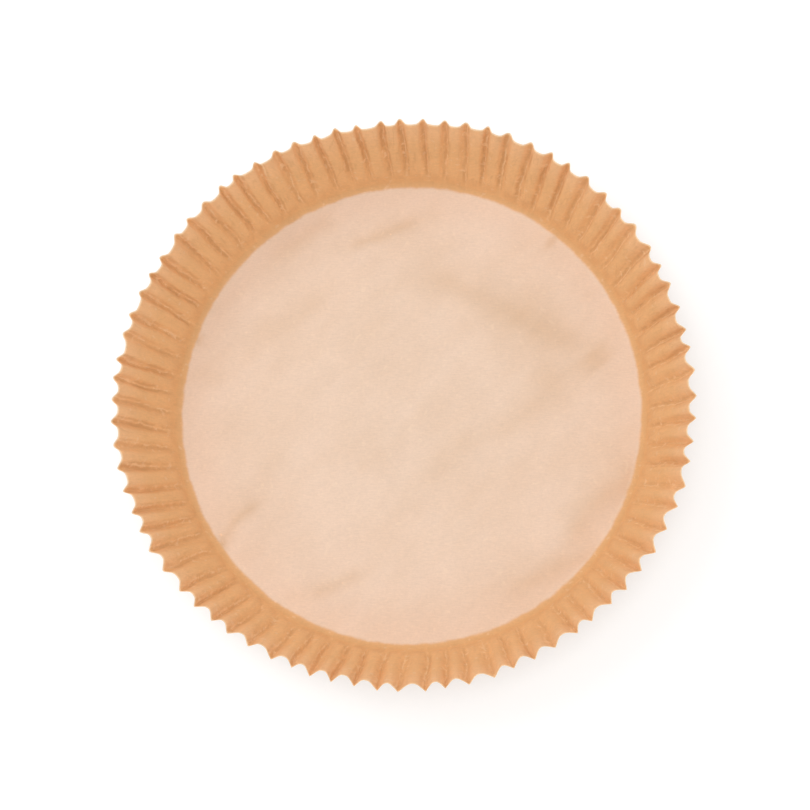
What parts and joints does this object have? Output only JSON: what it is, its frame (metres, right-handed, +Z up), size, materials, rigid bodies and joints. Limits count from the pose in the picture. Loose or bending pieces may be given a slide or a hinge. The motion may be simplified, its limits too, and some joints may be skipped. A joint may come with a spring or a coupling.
{
  "type": "air fryer paper liner",
  "caption": "Shallow round dish of pressed greaseproof paper with a flat floor and a fluted, flared wall, which lines an air fryer basket.",
  "frame": {"origin": "middle of the floor's underside, on the surface that the dish stands on", "axes": "+Z up along the dish's own axis, out of its mouth; +X through the outer ridge of one flute"},
  "size_m": [0.236, 0.236, 0.04],
  "materials": {
    "greaseproof_paper": "unbleached greaseproof paper, matt with a faint sheen"
  },
  "bodies": {
    "root": {"liner": "greaseproof_paper"}
  },
  "joints": []
}
